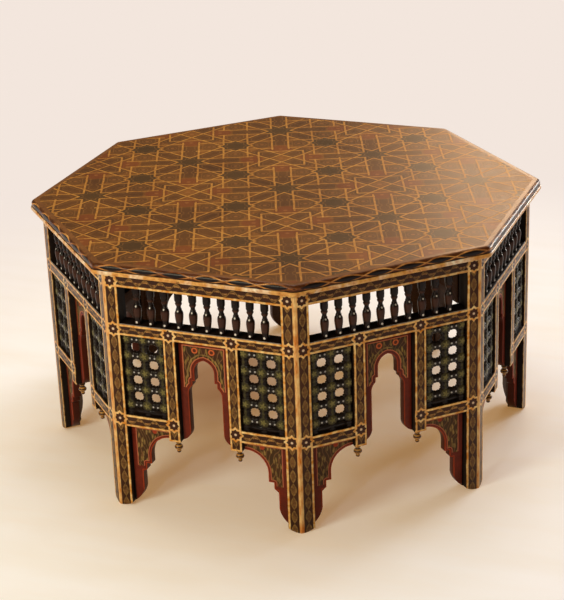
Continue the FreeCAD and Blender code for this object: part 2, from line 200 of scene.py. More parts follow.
class Sock:
    # A number that changes over the surface. Arithmetic on it adds Math nodes to its tree.
    def __init__(self, tree, socket):
        self.tree, self.socket = tree, socket

    def maths(self, operation, *others):
        maker = self.tree.nodes.new("ShaderNodeMath")
        maker.operation = operation
        for target, value in zip(maker.inputs, (self, *others)):
            feed(self.tree, target, value)
        return Sock(self.tree, maker.outputs[0])

    def __add__(self, other): return self.maths("ADD", other)
    def __radd__(self, other): return self.maths("ADD", other)
    def __sub__(self, other): return self.maths("SUBTRACT", other)
    def __rsub__(self, other): return (self * -1) + other
    def __mul__(self, other): return self.maths("MULTIPLY", other)
    def __rmul__(self, other): return self.maths("MULTIPLY", other)
    def __truediv__(self, other): return self.maths("DIVIDE", other)
    def __rtruediv__(self, other): return self.maths("POWER", -1) * other
    def __abs__(self): return self.maths("ABSOLUTE")
    def __lt__(self, other): return self.maths("LESS_THAN", other)
    def __gt__(self, other): return self.maths("GREATER_THAN", other)


def least(first, *others):  # the smallest of them
    for other in others:
        first = first.maths("MINIMUM", other)
    return first


def most(first, *others):  # the largest of them
    for other in others:
        first = first.maths("MAXIMUM", other)
    return first


def clip(value):  # kept between 0 and 1
    return most(least(value, 1), 0)


def hypot(a, b):  # the root of the sum of the squares
    return (a * a + b * b).maths("SQRT")


def inside(distance, soft=0.5):  # 1 where the distance is below nought, over a soft edge
    return clip(distance * (-0.5 / soft) + 0.5)


def stroke(distance, width, soft=0.5):  # 1 along a line of that width
    return inside(abs(distance) - width / 2, soft)


class Finish:
    # One material: its tree, its Object coordinates in millimetres, and one method for any node.
    def __init__(self, name):
        self.material = bpy.data.materials.new(name)
        self.material.use_nodes = True
        self.tree = self.material.node_tree
        self.shader = self.tree.nodes["Principled BSDF"]
        metres = self.node("TexCoord", output="Object")
        self.position = self.node("VectorMath", {"operation": "SCALE"}, {"Vector": metres, "Scale": 1 / mm})
        self.x, self.y, self.z = (
            Sock(self.tree, self.node("SeparateXYZ", None, {"Vector": self.position}, axis)) for axis in "XYZ"
        )

    def node(self, kind, settings=None, values=None, output=0):
        # Any node: its settings first, such as an operation, and then its sockets' links or values.
        maker = self.tree.nodes.new("ShaderNode" + kind)
        for name, value in (settings or {}).items():
            setattr(maker, name, value)
        for name, value in (values or {}).items():
            feed(self.tree, maker.inputs[name], value)
        return maker.outputs[output]

    def noise(self, size, detail, stretch=None, roughness=0.5):
        # Smooth noise about nought, from -1 to 1, whose lumps are about that many millimetres. Stretch
        # multiplies the coordinates, so less than 1 draws the lumps out.
        vector = self.position
        if stretch:
            vector = self.node("VectorMath", {"operation": "MULTIPLY"}, {0: vector, 1: stretch})
        values = {"Vector": vector, "Scale": 1 / size, "Detail": detail, "Roughness": roughness}
        return (Sock(self.tree, self.node("TexNoise", None, values)) - 0.5) * 2

    def mix(self, factor, first, second):  # the node keeps its factor between 0 and 1
        return self.node("Mix", {"data_type": "RGBA"}, {0: factor, 6: first, 7: second}, 2)

    def bump(self, height, strength, depth):  # height and depth in millimetres
        return self.node("Bump", None, {"Height": height, "Strength": strength, "Distance": depth * mm})

    def lay(self, mask, tone):  # one more coat, where the mask is 1
        self.colour = self.mix(mask, self.colour, tone)

    def finish(self, roughness, normal=None, coat=0.0, coatRoughness=0.1, specular=0.5):
        for name, value in (
            ("Base Color", self.colour), ("Roughness", roughness), ("Normal", normal),
            ("Coat Weight", coat), ("Coat Roughness", coatRoughness), ("Specular IOR Level", specular),
        ):
            if value is not None:
                feed(self.tree, self.shader.inputs[name], value)
        return self.material


def rgb(red, green, blue):  # a colour as seen on screen, 0 to 255, as the linear values Blender mixes
    seen = np.array([red, green, blue]) / 255
    return tuple(float(v) for v in np.where(seen <= 0.04045, seen / 12.92, ((seen + 0.055) / 1.055) ** 2.4))


# Turned pieces

spindle = {
    "count": 10, "endGap": 33.95, "setback": 10, "segments": 14,
    # painted highlights: a pale dot on each foot ball and a smaller one on each ring
    "footHighlight": 2.0, "footHighlightLevel": 5,  # radius, height above the rail
    "ringHighlight": 1.5, "ringHighlightShare": 0.505,  # radius, share of the height
    "rubbed": [(0.33, 0.12, 0.03), (0.685, 0.03, 0.02)],  # middle, half length and soft edge, as shares
    # share of the height, radius: foot ball, long belly, small ring, waist, bead, block
    "profile": [
        (0, 4.2), (0.012, 6.0), (0.05, 6.7), (0.095, 6.3), (0.12, 5.8), (0.15, 6.0), (0.2, 6.6),
        (0.28, 7.4), (0.36, 7.9), (0.43, 7.8), (0.47, 7.2), (0.5, 6.1), (0.52, 5.2), (0.535, 5.6),
        (0.55, 5.2), (0.565, 4.4), (0.6, 4.1), (0.635, 4.4), (0.655, 5.6), (0.685, 6.5), (0.715, 6.0),
        (0.735, 5.4), (0.75, 6.4), (0.775, 7.2), (0.86, 7.4), (0.95, 7.2), (1, 7.2),
    ],
}


def spindleShapes():
    # One turned profile between the two rails, repeated along the side at an even pitch.
    low, high = place["middleRailTop"], place["topRailBottom"]
    profile = [(low + share * (high - low), radius) for share, radius in spindle["profile"]]
    points, faces = turned(profile, spindle["segments"])
    half = place["stileEdge"] - spindle["endGap"]
    back = spindle["setback"] - place["apothem"]
    return [(points + [centre, back, 0], faces) for centre in np.linspace(-half, half, spindle["count"])]


drop = {
    "setback": 16, "segments": 20, "bandPitch": 5.2, "band": 2.2,
    # depth below the mullion, radius
    "profile": [
        (0, 3.0), (2.5, 3.4), (4, 5.5), (6, 6.1), (8, 5.4), (9, 3.9), (10.5, 3.6), (12, 5.4), (15, 7.6),
        (17.5, 7.9), (20, 6.6), (21.6, 4.2), (23, 3.0), (24.2, 3.9), (26, 4.1), (27.8, 3.1), (28.9, 1.4),
    ],
}


def dropShapes():
    # The same turned drop below both mullions of each side.
    profile = [(place["mullionBottom"] - depth, radius) for depth, radius in reversed(drop["profile"])]
    points, faces = turned(profile, drop["segments"])
    middle, back = place["mullionMiddle"], drop["setback"] - place["apothem"]
    pair = [points + [centre, back, 0] for centre in (-middle, middle)]
    return [(onSide(shape, side), faces) for side in range(sides) for shape in pair]


lattice = {
    "depth": 10, "half": 6,  # from the frame's face to the lattice's middle, and half its thickness
    "columns": (-1, 0, 1), "rows": 5, "pitchAcross": 34.3, "pitchUp": 33.3, "head": 7.9,
    "rosette": 14.2, "petals": 8, "petalDepth": 1.3, "rosetteSegments": 24,
    # a rosette's rings from front to back: share of its rim, share of half the thickness
    "dome": [(0.3, 1.0), (0.62, 0.82), (0.9, 0.45), (1.0, 0.0), (0.9, -0.45), (0.3, -0.9)],
    # share of the length between two rosettes, radius
    "link": [
        (-0.5, 6.8), (-0.25, 7.0), (-0.19, 8.2), (-0.11, 9.2), (-0.035, 8.5), (0, 7.6),
        (0.035, 8.5), (0.11, 9.2), (0.19, 8.2), (0.25, 7.0), (0.5, 6.8),
    ],
    "linkSegments": 9, "intoRails": 4,
    "footRail": 14, "footHalf": 4, "footOverlap": 1,  # height, half its thickness, into its neighbours
}


def latticeShapes():
    # Rosettes on a square grid, each a flattened dome whose rim swells in petals by the cosine of its angle.
    # Turned links run between them, and a plain rail lies at the foot. What would go too far into the
    # frame's rails is pressed flat there.
    apothem = place["apothem"] - lattice["depth"]
    columns = place["latticeMiddle"] + lattice["pitchAcross"] * np.array(lattice["columns"])
    rows = place["middleRailBottom"] - lattice["head"] - lattice["pitchUp"] * np.arange(lattice["rows"])
    segments = lattice["rosetteSegments"]
    angle = np.arange(segments) * 2 * math.pi / segments
    rim = lattice["rosette"] + lattice["petalDepth"] * np.cos(lattice["petals"] * angle)
    share, lift = np.array(lattice["dome"]).T[:, :, None]
    ring = np.stack([
        share * rim * np.cos(angle),
        -lift * lattice["half"] * np.ones(segments),
        share * rim * np.sin(angle),
    ], axis=-1).reshape(-1, 3)
    poles = np.array([[0, -lift[end, 0] * lattice["half"], 0] for end in (0, -1)])
    rosette, rosetteFaces = np.vstack([ring, poles]), ringFaces(len(share), segments)

    def link(length):  # along x, flattened to the lattice's thickness
        profile = [(part * length, radius) for part, radius in lattice["link"]]
        points, faces = turned(profile, lattice["linkSegments"])
        flat = lattice["half"] / max(radius for part, radius in profile)
        return np.stack([points[:, 2], points[:, 1] * flat, -points[:, 0]], axis=1), faces

    across, linkFaces = link(lattice["pitchAcross"])
    up, linkFaces = link(lattice["pitchUp"])
    up = np.stack([-up[:, 2], up[:, 1], up[:, 0]], axis=1)
    shapes = []
    for hand in (-1, 1):
        for column, x in enumerate(columns):
            for z in rows:
                at = np.array([hand * x, -apothem, z])
                shapes.append((rosette + at, rosetteFaces))
                if column:
                    shapes.append((across + at - [hand * lattice["pitchAcross"] / 2, 0, 0], linkFaces))
                shapes.append((up + at - [0, 0, lattice["pitchUp"] / 2], linkFaces))
    low, high = place["lowRailTop"] - lattice["intoRails"], place["middleRailBottom"] + lattice["intoRails"]
    for points, faces in shapes:
        np.clip(points[:, 2], low, high, out=points[:, 2])
    over, half = lattice["footOverlap"], lattice["footHalf"]
    low, high = place["lowRailTop"] - over, place["lowRailTop"] + lattice["footRail"]
    for hand in (-1, 1):
        ends = sorted((hand * (place["mullionOuter"] - over), hand * (place["stileEdge"] + over)))
        shapes.append(boxShape(ends, (-apothem - half, -apothem + half), (low, high)))
    return shapes


edging = {
    "lipTop": 8.5, "lipReach": 2.3, "noseRadius": 2.3, "noseFrom": 4, "arris": 7,
    "rise": [(-0.5, 0.2), (0, 1.0)],  # from where the band meets the lip: outwards, upwards
    "cornerSteps": 7, "arcSteps": 8,
    "leafPitch": 62, "leafReach": 5.6, "wander": 10, "line": 2.0,
}


def edgingShape():
    # A closed profile of (distance from the middle of the table, height) carried round the eight sides.
    # At each corner the profile swings about the inner corner, so its outer edges round off.
    outer, inner = -edgeLow[1], -panelLow[1]
    bottom, top = edgeLow[2], edgeHigh[2]
    lip, band = bottom + edging["lipTop"], outer - edging["lipReach"]
    arris, nose = edging["arris"], edging["noseRadius"]
    quarterTurn = np.linspace(0, math.pi / 2, edging["arcSteps"])
    halfTurn = np.linspace(-math.pi / 2, math.pi / 2, edging["arcSteps"])
    profile = [(inner, bottom), (outer - edging["noseFrom"], bottom)]
    middle, half = (bottom + lip) / 2, (lip - bottom) / 2
    profile += [(outer - nose + nose * math.cos(a), middle + half * math.sin(a)) for a in halfTurn]
    profile += [(band + outwards, lip + upwards) for outwards, upwards in edging["rise"]]
    profile += [(band - arris + arris * math.cos(a), top - arris + arris * math.sin(a)) for a in quarterTurn]
    profile += [(inner, top)]
    out, height = np.array(profile).T
    cornerDistance = inner / math.cos(turn / 2)
    swing = np.linspace(-turn / 2, turn / 2, edging["cornerSteps"])
    corner = np.repeat(turn * (np.arange(sides) - 0.5) - math.pi / 2, len(swing))
    facing = corner + np.tile(swing, sides)
    reach = (out - inner)[:, None]
    points = np.stack([
        cornerDistance * np.cos(corner) + reach * np.cos(facing),
        cornerDistance * np.sin(corner) + reach * np.sin(facing),
        np.repeat(height[:, None], len(corner), axis=1),
    ], axis=-1)
    return points.reshape(-1, 3), gridFaces(len(profile), len(corner), closed=True)


# Finishes. Colours are as seen on screen.

paint = {
    "umber": rgb(44, 21, 7), "umberLight": rgb(76, 40, 14), "olive": rgb(150, 112, 58),
    "gold": rgb(214, 136, 46), "goldLight": rgb(255, 220, 150), "cream": rgb(255, 236, 190),
    "black": rgb(20, 14, 11), "brick": rgb(126, 42, 24), "brickDark": rgb(74, 26, 12),
    "pink": rgb(186, 100, 70), "flower": rgb(178, 66, 26),
    "wood": rgb(88, 53, 27), "woodDark": rgb(46, 26, 13),
}
blackGloss = {"coat": 0.16, "coatRoughness": 0.12, "specular": 0.08}
boardGloss = {"coat": 0.03, "coatRoughness": 0.18, "specular": 0.12}


def sideCoordinates(made):
    # The angle about the table's middle is folded to an eighth of a turn. The radius times its sine is the
    # distance across from the middle of a side, and the apothem less the radius times its cosine is the
    # depth behind the frame's face.
    angle = made.y.maths("ARCTAN2", made.x) + math.pi / 2
    folded = angle - (angle / turn).maths("ROUND") * turn
    radius = hypot(made.x, made.y)
    return abs(radius * folded.maths("SINE")), place["apothem"] - radius * folded.maths("COSINE")


def handDrawn(made, across, size, amount):  # across and height wander a little, as lines from a brush do
    return across + made.noise(size, 1) * amount, made.z + made.noise(size, 1, (1, 1, 1.3)) * amount


def leafChain(along, aside, pitch, reach, rim):
    # The size of a sine gives a chain of leaves, one every pitch. Returns each leaf's rim and its heart.
    swell = abs((along * (math.pi / pitch)).maths("SINE")) * reach
    heart = inside(aside - swell + rim, 0.7)
    return inside(aside - swell, 0.7) - heart, heart


def runningScroll(along, aside, pitch, reach, width):
    # One sine wave runs along the member, and a flatter one shows in each of its bends as a crescent.
    wave = (along * (2 * math.pi / pitch)).maths("SINE") * reach
    crescent = stroke(aside - wave * 0.3, width, 0.7) * (abs(wave) > reach * 0.5)
    return stroke(aside - wave, width, 0.7), crescent


def woodGrain(made, size=3.2, stretch=(0.12, 0.12, 1.0), patchSize=60):
    # Fine noise drawn out along the grain and broad noise together choose between two browns.
    grain = made.noise(size, 4, stretch)
    patch = made.noise(patchSize, 2)
    return made.mix(grain * 0.6 + patch * 0.5 + 0.5, paint["woodDark"], paint["wood"]), grain


knots = {
    "reach": 9.6, "line": 3.7, "dot": 2.3, "ground": rgb(62, 29, 12), "dotTone": rgb(232, 200, 168),
    # distance across and the heights there: on the stiles, and on the mullions
    "centres": [(171.7, (462, 367, 185)), (61.7, (367, 185))],
}


def knotFields(across, height):
    # A square and the same square turned by an eighth make a star of eight points about each knot's centre.
    # The smaller of the two reaches draws its outline, and the plain distance its dot.
    stars, dots = [], []
    for centre, levels in knots["centres"]:
        dx = abs(across - centre)
        dz = least(*(abs(height - level) for level in levels))
        stars.append(least(most(dx, dz), (dx + dz) * diagonal))
        dots.append(hypot(dx, dz))
    return least(*stars), least(*dots)


goldLines = {
    "width": 3.9, "swell": 0.7,
    # by the edge that each line follows: how far off its middle lies, and how much wider it is
    "stileEdge": (2.3, 0), "mullionInner": (2.2, -0.4), "mullionOuter": (-2.2, -0.4),
    "topRailBottom": (2.4, 0.3), "middleRailTop": (-3.1, 0), "middleRailBottom": (2.3, 0),
    "lowRailTop": (-2.3, 0), "lowRailBottom": (2.3, 0), "mullionBottom": (2.2, -0.4),
}
frameLook = {
    "stileMiddle": 171.4, "mullionHalf": 8, "beadFrom": 180.9,  # from the middle of a side
    "leafFrom": 9, "leaves": (28, 6.2, 2.6), "scroll": (31, 6.0, 2.8),  # pitch, reach, rim or line
    "railMiddles": (182, 367.5, 463.5), "betweenRails": (280, 420),  # heights: low, middle and top rail
    "edgeDepth": 1.6, "backDepth": 30.5,  # behind the frame's face
    "crescent": rgb(186, 132, 70), "bead": rgb(206, 116, 34),
    "edge": rgb(46, 30, 22), "sillHighlight": rgb(150, 140, 136),
}


def framePaintFinish():
    # Gold lines follow the edges of stiles, rails and mullions, with a knot at every crossing and a chain
    # of leaves along each member. The sides are black and the back is bare wood.
    made, look = Finish("framePaint"), frameLook
    across, depth = sideCoordinates(made)
    across, height = handDrawn(made, across, 14, 0.5)
    brush = made.noise(9, 3)
    patch = made.noise(46, 3)
    broad = brush * goldLines["swell"] + goldLines["width"]

    def line(distance, edge):  # along one edge of the frame
        offset, wider = goldLines[edge]
        return stroke(distance - (place[edge] + offset), broad + wider)

    mullionLines = most(line(across, "mullionInner"), line(across, "mullionOuter"))
    lowLines = most(line(height, "lowRailTop"), line(height, "lowRailBottom"))
    railLines = most(
        *(line(height, edge) for edge in ("topRailBottom", "middleRailTop", "middleRailBottom")),
        lowLines * (across > place["mullionOuter"] - 3),
        line(height, "mullionBottom") * (across < place["mullionOuter"] + 4),
    )
    lines = most(
        line(across, "stileEdge"),
        mullionLines * (height < place["middleRailTop"]),
        railLines * (across < place["stileEdge"] + 2),
    )

    # leaves up the stiles and mullions, a scroll along the nearest rail
    mullionAside = abs(across - place["mullionMiddle"])
    aside = least(abs(across - look["stileMiddle"]), mullionAside)
    upRim, upHeart = leafChain(height + look["leafFrom"], aside, *look["leaves"])
    inMullion = (mullionAside < look["mullionHalf"]) * (height < place["middleRailBottom"])
    upright = most(across > place["stileEdge"] + 4, inMullion)
    low, middle, top = look["railMiddles"]
    aboveLow, aboveMiddle = (height > level for level in look["betweenRails"])
    railAside = height - low - aboveLow * (middle - low) - aboveMiddle * (top - middle)
    railWave, railCrescent = runningScroll(across, railAside, *look["scroll"])
    rim = railWave * (1 - upright) + upRim * upright
    heart = railCrescent * (1 - upright) + upHeart * upright * 0.35

    dabs = clip(made.noise(4.5, 2) * 0.9 + 0.62)  # where the brush has left more or less
    made.colour = made.mix(patch * 0.6 + 0.4, paint["umber"], paint["umberLight"])
    made.lay(heart * dabs, look["crescent"])
    made.lay(rim * dabs, paint["olive"])
    goldTone = made.mix(brush * 1.3 + 0.42, paint["gold"], paint["goldLight"])
    made.lay(lines, goldTone)
    starReach, plain = knotFields(across, height)
    knotLine = stroke(starReach - knots["reach"], knots["line"])
    made.lay(inside(starReach - knots["reach"]), knots["ground"])
    made.lay(knotLine, made.mix(brush * 0.8, goldTone, paint["cream"]))
    made.lay(inside(plain - knots["dot"], 0.8), knots["dotTone"])
    bead = inside(look["beadFrom"] - across, 0.6)
    streak = made.noise(7, 3, (1, 1, 0.35)) * 1.1 + 0.45
    made.lay(bead, made.mix(streak, look["bead"], paint["goldLight"]))
    wear = clip((made.noise(5, 4) * 0.7 + patch * 0.5 - 0.42) * 5)
    made.lay(wear * 0.55, paint["umber"])
    behind = inside(look["edgeDepth"] - depth, 0.6)
    made.lay(behind, made.mix(brush * 0.5 + 0.3, paint["black"], look["edge"]))
    # a painted highlight: a pale grey line along the middle rail's upper front arris
    sillHighlight = inside(abs(height - place["middleRailTop"]) - 0.9, 0.3)
    # the pale line is painted highlight, not wear
    made.lay(sillHighlight * (across < place["stileEdge"]) * (depth < 1.8) * 0.8, look["sillHighlight"])
    made.lay(inside(look["backDepth"] - depth), woodGrain(made)[0])
    relief = most(lines, knotLine, bead) * 0.8 + rim * 0.35 + made.noise(2.2, 3) * 0.14
    roughness = 0.36 + brush * 0.08 + behind * 0.3
    normal = made.bump(relief, 0.55, 0.45)
    return made.finish(roughness, normal, coat=behind * -0.08 + 0.08, coatRoughness=0.2, specular=0.12)


# The arch board and the brackets. An opening is made of slots that are open downwards, as (half width, top),
# and of circles, as (distance across, height, radius).
board = {
    "slots": [(33, 250), (24.5, 276), (19.5, 296)], "circles": [(11.7, 250, 21.3), (-3.8, 296, 23.3)],
    "beside": "mullionInner", "above": "middleRailBottom", "inset": (0, 0),
    "band": 7.2, "bandLine": 1.6, "border": 9.5, "strip": 2.2, "foot": 262,
    "rim": (1.0, 1.4, 0.55),  # from the opening, width, strength
    "ground": (rgb(48, 36, 18), rgb(76, 42, 22)), "outline": rgb(214, 122, 78),
    "leafSize": 14, "leafCover": 0.45, "leaf": rgb(164, 134, 64), "stem": rgb(146, 104, 64),
    "longLeaf": rgb(154, 124, 68), "longLeafGap": 5.6,
    "flower": (16.8, 338, 1.05),  # distance across, height, how far it is flattened
    # its rings: radius, width, soft edge
    "rings": [(0, 13.2, 0.8, rgb(92, 44, 24)), (4.8, 2.6, 0.5, rgb(206, 100, 52))],
}
bracket = {
    "slots": [(118.1, 109), (128.6, 90.5), (137.1, 75)], "circles": [(76.1, 109, 42)],
    "beside": "stileEdge", "above": "lowRailBottom", "inset": (2, -3),
    "band": 5.5, "bandLine": 1.5, "border": 10, "strip": 3.2, "foot": 84,
    "rim": (1.2, 2.0, 0.7),
    "ground": (rgb(56, 40, 18), rgb(82, 52, 26)), "outline": paint["pink"],
    "leafSize": 13, "leafCover": 0.5, "leaf": rgb(164, 132, 72), "stem": rgb(146, 100, 60),
    "flower": (108, 160, 1),
    "rings": [(0, 9.2, 0.7, rgb(158, 58, 30))],
}


def slotDistance(across, height, half, top):
    # Beyond the slot, the distance to its nearest side or corner. Within it, the least way out, below nought.
    beside, above = across - half, height - top
    return hypot(most(beside, 0), most(above, 0)) + least(most(beside, above), 0)


def roundDistance(across, height, centre, level, radius):  # from a circle, below nought within it
    return hypot(across - centre, height - level) - radius


def scrollLeaves(made, across, height, size):
    # A leaf is the heart of each cell of a stretched cell pattern. A stem is a line every 10 mm along a
    # slanted direction that noise makes wander.
    stretched = {"X": across * 1.9 + height * 0.35, "Y": height * 0.6 - across * 0.3}
    vector = made.node("CombineXYZ", None, stretched)
    values = {"Vector": vector, "Scale": 1 / size, "Randomness": 0.75}
    cells = Sock(made.tree, made.node("TexVoronoi", {"voronoi_dimensions": "2D"}, values))
    leaf = inside(cells * size - size * 0.27, 0.8)
    wander = made.noise(26, 1) * 9
    stem = stroke((across * 1.2 + wander * 1.4 - height * 0.45).maths("PINGPONG", 10) - 5, 1.9)
    return leaf, stem


def boardPaintFinish(name, look):
    # The distance to the opening gives a red band and its outline. A red border follows the edges beside and
    # above, and leaves, stems and a flower fill the ground between. The back is bare wood.
    made = Finish(name)
    across, depth = sideCoordinates(made)
    across, height = handDrawn(made, across, 12, 0.45)
    opening = least(
        *(slotDistance(across, height, *slot) for slot in look["slots"]),
        *(roundDistance(across, height, *circle) for circle in look["circles"]),
    )
    sideEdge = place[look["beside"]] - across
    edge = least(sideEdge - look["inset"][0], place[look["above"]] - height - look["inset"][1])
    leaf, stem = scrollLeaves(made, across, height, look["leafSize"])
    brush = made.noise(8, 3)
    patch = made.noise(38, 3)
    made.colour = made.mix(patch + 0.5, *look["ground"])
    made.lay(stem * 0.45, look["stem"])
    made.lay(leaf * clip(brush * 0.8 + look["leafCover"]), look["leaf"])
    if "longLeaf" in look:  # broken leaves that follow the band
        longLeaf = stroke(opening - look["band"] - look["longLeafGap"] - made.noise(17, 1) * 3, 2.2, 0.7)
        broken = inside(abs(made.noise(30, 1, (1, 1, 1.4))) - 0.3, 0.1)
        made.lay(longLeaf * broken * 0.75, look["longLeaf"])
    centre, level, flattened = look["flower"]
    flower = hypot(across - centre, (height - level) * flattened)
    for radius, width, soft, tone in look["rings"]:
        made.lay(stroke(flower - radius, width, soft), tone)
    red = made.mix(brush * 0.4 + patch * 0.4 + 0.45, paint["brickDark"], paint["brick"])
    framed = most(inside(opening - look["band"]), inside(edge - look["border"]))
    made.lay(most(framed, inside(height - look["foot"], 2)), red)
    outline = most(
        stroke(opening - look["band"], look["bandLine"]) * (edge > look["border"]),
        stroke(edge - look["border"], 1.7) * (opening > look["band"]),
    ) * (height > look["foot"])
    made.lay(outline, made.mix(brush + 0.5, paint["pink"], look["outline"]))
    offset, width, strength = look["rim"]
    made.lay(stroke(opening - offset, width) * strength, paint["flower"])
    made.lay(inside(sideEdge - look["strip"]), paint["black"])
    wear = clip((made.noise(4, 4) * 0.7 + patch * 0.4 - 0.5) * 5)
    made.lay(wear * 0.5, rgb(150, 96, 60))
    behind = depth - place["boardSetback"]
    made.lay(inside(1.4 - behind), paint["brickDark"])
    made.lay(inside(14.5 - behind), woodGrain(made)[0])
    relief = (leaf + outline) * 0.5 + made.noise(2.4, 3) * 0.14
    return made.finish(0.4 + brush * 0.08, made.bump(relief, 0.5, 0.4), **boardGloss)


def turnedBlackFinish():
    # Almost black, rubbed brown on the bellies. The height and the distance from the nearest spindle's axis
    # place a painted highlight, a pale dot, on the front of each foot ball and a smaller one on each ring.
    made = Finish("turnedBlack")
    across, depth = sideCoordinates(made)
    pitch = (place["stileEdge"] - spindle["endGap"]) * 2 / (spindle["count"] - 1)
    aside = ((across / pitch).maths("FRACT") - 0.5) * pitch
    low, high = place["middleRailTop"], place["topRailBottom"]
    share = (made.z - low) / (high - low)
    brush = made.noise(7, 3)
    worn = clip((made.noise(3.5, 4) - 0.2) * 3)
    belly = most(*(inside(abs(share - middle) - half, soft) for middle, half, soft in spindle["rubbed"]))
    made.colour = made.mix(brush * 0.6 + 0.3, rgb(12, 7, 5), rgb(42, 23, 15))
    made.lay(belly * 0.6, rgb(78, 44, 28))
    made.lay(worn * 0.4, rgb(92, 52, 34))
    # painted highlights: pale dots on the front of each foot ball and each ring, where a light near the
    # camera would glint
    footHighlight = inside(hypot(aside, made.z - low - spindle["footHighlightLevel"]) - spindle["footHighlight"], 0.4)
    ringLevel = (share - spindle["ringHighlightShare"]) * (high - low)
    ringHighlight = inside(hypot(aside, ringLevel) - spindle["ringHighlight"], 0.4)
    front = depth < spindle["setback"] - 2
    made.lay(most(footHighlight, ringHighlight * 0.8) * front, rgb(232, 224, 216))
    return made.finish(0.3 + worn * 0.2, made.bump(made.noise(1.6, 2), 0.12, 0.1), **blackGloss)


latticeMarks = {
    "ring": 15.4, "scallops": 8, "scallop": 1.1, "linkHalf": 4.4,
    "star": 4.6, "starPoints": 5, "starDepth": 1.6,
    "endAcross": 39, "endHead": 6, "endFoot": 12,  # black from there to the frame
    "glint": (4.6, 16.6, 1.6),  # from the middle of an opening: across, up, radius
}


def latticeBlackFinish():
    # Coordinates fold to the nearest rosette and to the middle of the nearest opening. Black rings run round
    # the openings and along the upright links, olive lies between, each rosette carries a pale star, and pale
    # spots of painted highlight sit in pairs above and below each opening.
    made, marks = Finish("latticeBlack"), latticeMarks
    across, depth = sideCoordinates(made)
    across, height = handDrawn(made, across, 9, 0.5)
    middle, row = place["latticeMiddle"], place["middleRailBottom"] - lattice["head"]
    pitchX, pitchZ = lattice["pitchAcross"], lattice["pitchUp"]
    dx, dz = (across - middle) / pitchX, (height - row) / pitchZ
    nodeX, nodeZ = (dx - dx.maths("ROUND")) * pitchX, (dz - dz.maths("ROUND")) * pitchZ
    openX, openZ = (dx.maths("FRACT") - 0.5) * pitchX, (dz.maths("FRACT") - 0.5) * pitchZ
    starAngle = nodeZ.maths("ARCTAN2", nodeX) * marks["starPoints"]
    starReach = hypot(nodeX, nodeZ) - starAngle.maths("COSINE") * marks["starDepth"]
    ringAngle = openZ.maths("ARCTAN2", openX) * marks["scallops"]
    ring = hypot(openX, openZ) + ringAngle.maths("COSINE") * marks["scallop"]
    rings = inside(ring - marks["ring"])
    links = inside(abs(openX) - marks["linkHalf"])
    ends = most(
        abs(across - middle) - marks["endAcross"],
        height - (row + marks["endHead"]),
        place["lowRailTop"] + marks["endFoot"] - height,
    )
    black = most(rings, links, inside(ends * -1))
    brush = made.noise(6, 3)
    patch = made.noise(30, 2)
    made.colour = made.mix(brush * 0.8 + patch * 0.5 + 0.45, rgb(32, 26, 13), rgb(80, 72, 38))
    starTone = made.mix(brush + 0.5, rgb(84, 78, 36), rgb(130, 118, 66))
    made.lay(inside(starReach - marks["star"], 0.9), starTone)
    made.lay(black, made.mix(brush * 0.6 + 0.3, rgb(15, 10, 8), rgb(46, 32, 24)))
    # painted highlights: pale spots where the glossy black links would catch the light
    glintX, glintZ, radius = marks["glint"]
    glints = inside(hypot(abs(openX) - glintX, abs(openZ) - glintZ) - radius)
    made.lay(glints * 0.8, rgb(196, 192, 190))
    made.lay(inside(lattice["depth"] + 1.5 - depth, 1), rgb(24, 18, 14))
    return made.finish(0.32 + brush * 0.06, made.bump(made.noise(1.8, 2), 0.15, 0.15), **blackGloss)


def dropBrownFinish():
    # A gold band goes round the drop once in every pitch of its height, over mottled brown.
    made = Finish("dropBrown")
    brush = made.noise(5, 3)
    pitch = drop["bandPitch"]
    bands = stroke((made.z - place["mullionBottom"]).maths("PINGPONG", pitch) - pitch / 2, drop["band"], 0.6)
    brown = made.mix(brush * 0.5 + 0.4, rgb(48, 26, 12), rgb(92, 54, 26))
    gold = made.mix(brush + 0.5, paint["gold"], rgb(226, 176, 92))
    made.colour = made.mix(bands * 0.7, brown, gold)
    normal = made.bump(made.noise(1.4, 2), 0.2, 0.1)
    return made.finish(0.25 + brush * 0.06, normal, coat=0.2, coatRoughness=0.08, specular=0.2)


def bareWoodFinish():  # the grain runs along x, and stands up a little
    made = Finish("bareWood")
    made.colour, grain = woodGrain(made, 3, (0.12, 1.0, 1.0), 70)
    return made.finish(0.62 + grain * 0.08, made.bump(grain, 0.3, 0.3))


# The painted top: a square repeat with a rosette of eight petals at its corners and a star between them.
star = {
    "repeat": 269.5, "turned": -22.5, "centre": (-6, 3), "strap": 4.1, "inset": 8.2,
    # straps in the folded triangle: along the petals, across the crossings, and round the corner square
    "segments": [
        ((17.4, 17.4), (111, 17.4)), ((24.6, 0), (105, 80.4)), ((98.8, 0), (58, 40.8)),
        ((134.8, 36), (97, 73.8)), ((117.4, 30), (117.4, 134.8)), ((117.4, 117.4), (134.8, 117.4)),
        ((101.5, 101.5), (134.8, 68.5)),
    ],
    "halfStar": 25.4, "eye": 30,
    "rustCell": (91, 91), "rustReach": 23, "dotCell": (95, 39.5), "dotReach": 20,
    "petal": (15, 66, 36), "cornerBand": (17.4, 47, 31),  # half width, distance to the middle, half length
    "ground": (rgb(94, 51, 12), rgb(145, 87, 23)), "dark": rgb(60, 35, 12), "green": rgb(62, 43, 16),
    "rust": rgb(120, 50, 18), "fineLine": rgb(152, 100, 46), "dots": rgb(160, 100, 46),
    "strapEdge": rgb(56, 30, 12), "strapTone": (rgb(152, 92, 28), rgb(206, 144, 60)),
    "worn": rgb(140, 92, 48), "craze": rgb(62, 34, 12),
}


